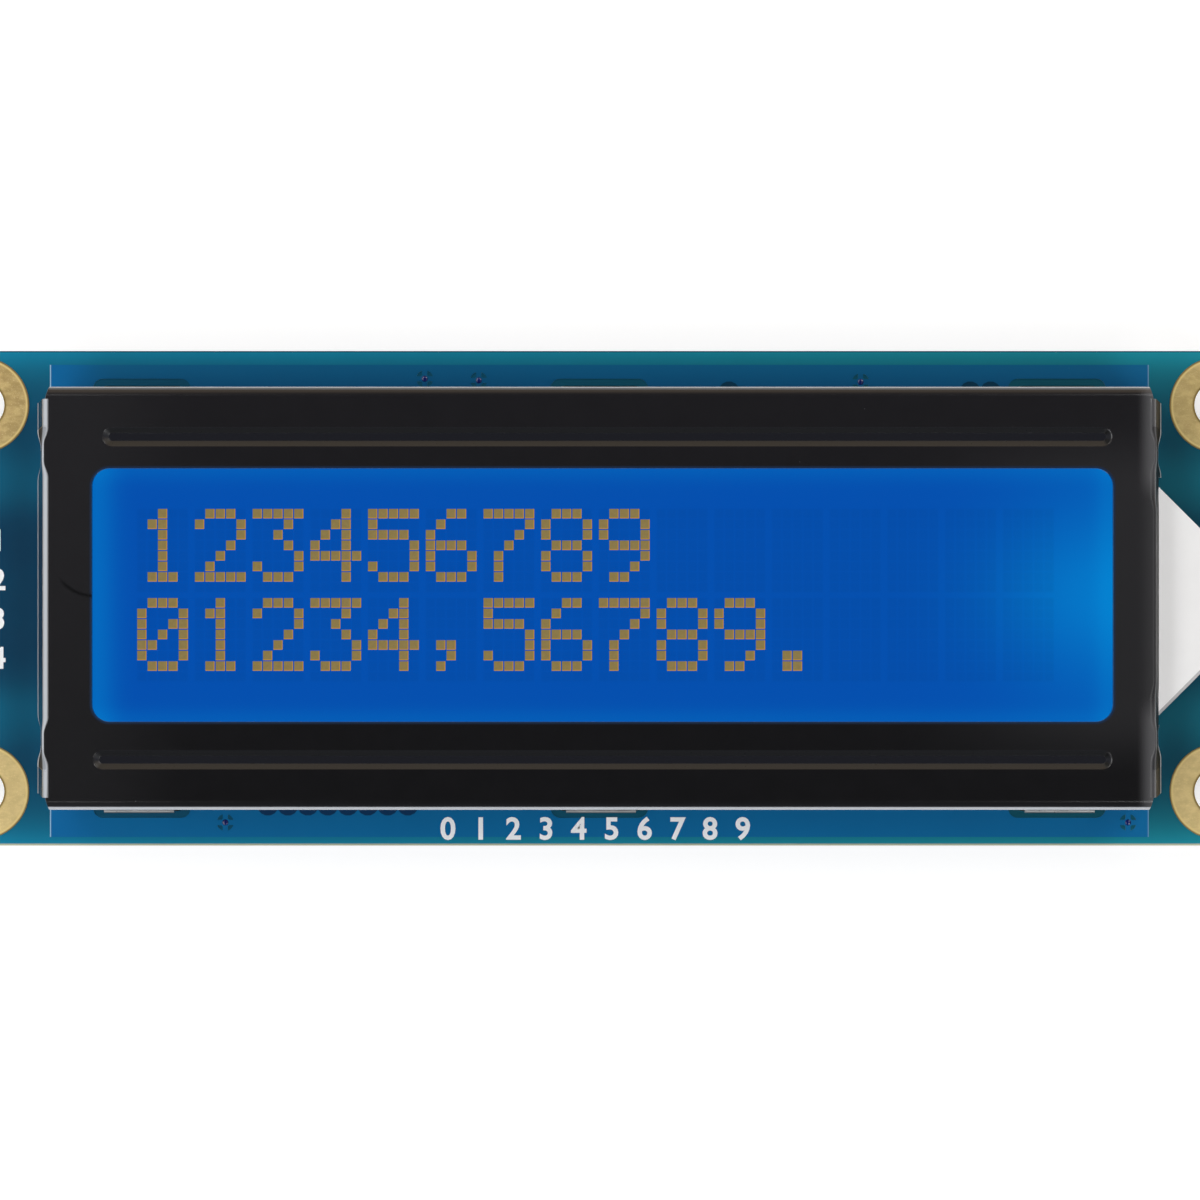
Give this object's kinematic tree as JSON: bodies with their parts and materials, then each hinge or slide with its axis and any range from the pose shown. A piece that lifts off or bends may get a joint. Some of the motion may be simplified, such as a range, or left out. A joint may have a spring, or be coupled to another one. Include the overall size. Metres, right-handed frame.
{
  "type": "character lcd module",
  "caption": "Blue character LCD module: a glass display cell and its edge-lit backlight held on a circuit board by a folded black steel bezel with a window.",
  "frame": {"origin": "centre of the four mounting holes, on the rear face of the circuit board", "axes": "+Z out of the display, +X along the board towards the light guide's nose, +Y towards the upper line of characters"},
  "size_m": [0.087, 0.032, 0.013],
  "materials": {
    "board_mask": "satin solder mask over glass-fibre laminate",
    "copper_mask": "satin solder mask over copper",
    "gold_plating": "matte gold plating",
    "black_steel": "satin black finish with bare, bright bends",
    "front_film": "glossy film",
    "cell_glass": "polished",
    "lit_dot": "matte",
    "cell_fluid": "clear blue",
    "cell_seal": "matte",
    "rear_film": "glossy film",
    "elastomer": "matte",
    "white_film": "matte",
    "clear_acrylic": "polished",
    "lamp_white": "satin",
    "tinned_metal": "bright tin",
    "socket_ivory": "satin moulded nylon",
    "pin_metal": "bright",
    "black_epoxy": "satin",
    "chip_black": "matte moulded epoxy with tinned leads",
    "resistor_black": "matte body with tinned ends",
    "capacitor_tan": "matte ceramic with tinned ends"
  },
  "bodies": {
    "root": {"circuit_board": "board_mask", "front_copper": "copper_mask", "rear_copper": "copper_mask", "mount_ring_left_top": "gold_plating", "mount_ring_left_bottom": "gold_plating", "mount_ring_right_top": "gold_plating", "mount_ring_right_bottom": "gold_plating", "header_pad_1": "gold_plating", "header_pad_2": "gold_plating", "header_pad_3": "gold_plating", "header_pad_4": "gold_plating", "lamp_pads": "gold_plating", "bezel": "black_steel", "front_polariser": "front_film", "front_glass": "cell_glass", "rear_glass": "cell_glass", "lit_dots": "lit_dot", "liquid_crystal": "cell_fluid", "cell_seal": "cell_seal", "rear_polariser": "rear_film", "upper_elastomer_strip": "elastomer", "lower_elastomer_strip": "elastomer", "diffuser_film": "white_film", "reflector_film": "white_film", "nose_film": "white_film", "light_guide": "clear_acrylic", "colour_lamp": "lamp_white", "lamp_lead_1": "tinned_metal", "lamp_lead_2": "tinned_metal", "lamp_lead_3": "tinned_metal", "lamp_lead_4": "tinned_metal", "lamp_solder": "tinned_metal", "socket_anchor_top": "tinned_metal", "socket_anchor_bottom": "tinned_metal", "socket_housing": "socket_ivory", "socket_pin_1": "pin_metal", "socket_pin_2": "pin_metal", "socket_pin_3": "pin_metal", "socket_pin_4": "pin_metal", "controller_dome": "black_epoxy", "lamp_driver": "chip_black", "regulator": "chip_black", "level_shifter_1": "chip_black", "level_shifter_2": "chip_black", "resistor_1": "resistor_black", "resistor_2": "resistor_black", "resistor_3": "resistor_black", "resistor_4": "resistor_black", "resistor_5": "resistor_black", "resistor_6": "resistor_black", "capacitor_1": "capacitor_tan", "capacitor_2": "capacitor_tan", "capacitor_3": "capacitor_tan", "capacitor_4": "capacitor_tan", "capacitor_5": "capacitor_tan"}
  },
  "joints": []
}
